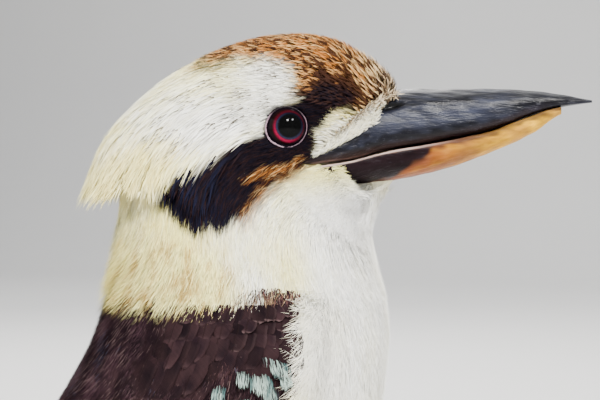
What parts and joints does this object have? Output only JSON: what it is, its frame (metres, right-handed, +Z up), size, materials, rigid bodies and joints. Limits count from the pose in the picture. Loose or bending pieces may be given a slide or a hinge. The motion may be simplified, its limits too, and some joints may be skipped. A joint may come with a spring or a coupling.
{
  "type": "laughing kookaburra",
  "caption": "Life-size perching kingfisher with a heavy straight bill, shaggy nape crest, folded wings of overlapping feathers, a fanned tail and scaled feet.",
  "frame": {"origin": "on the floor under the middle of the bird's length", "axes": "+X the way the bill points, +Y to the bird's left, +Z up"},
  "size_m": [0.3696, 0.105, 0.2495],
  "materials": {
    "plumage_cream": "soft off-white plumage with fine streaks",
    "plumage_brown": "dark brown plumage with pale blue spots on the coverts",
    "plumage_rufous": "rufous plumage with dark bars and pale tips",
    "horn_dark": "slate-black horn with a low sheen",
    "horn_pale": "horn-coloured, dark at the base",
    "eye": "wet dark eye",
    "leg_skin": "scaled grey-olive skin"
  },
  "bodies": {
    "root": {"head": "plumage_cream", "neck": "plumage_cream", "torso": "plumage_cream", "bill_upper": "horn_dark", "bill_lower": "horn_pale", "tail": "plumage_rufous", "eye_left": "eye", "eye_right": "eye", "wing_left": "plumage_brown", "wing_right": "plumage_brown", "thigh_left": "plumage_cream", "thigh_right": "plumage_cream", "foot_left": "leg_skin", "foot_right": "leg_skin", "claw_inner_left": "horn_dark", "claw_inner_right": "horn_dark", "claw_middle_left": "horn_dark", "claw_middle_right": "horn_dark", "claw_outer_left": "horn_dark", "claw_outer_right": "horn_dark", "claw_hind_left": "horn_dark", "claw_hind_right": "horn_dark"}
  },
  "joints": []
}
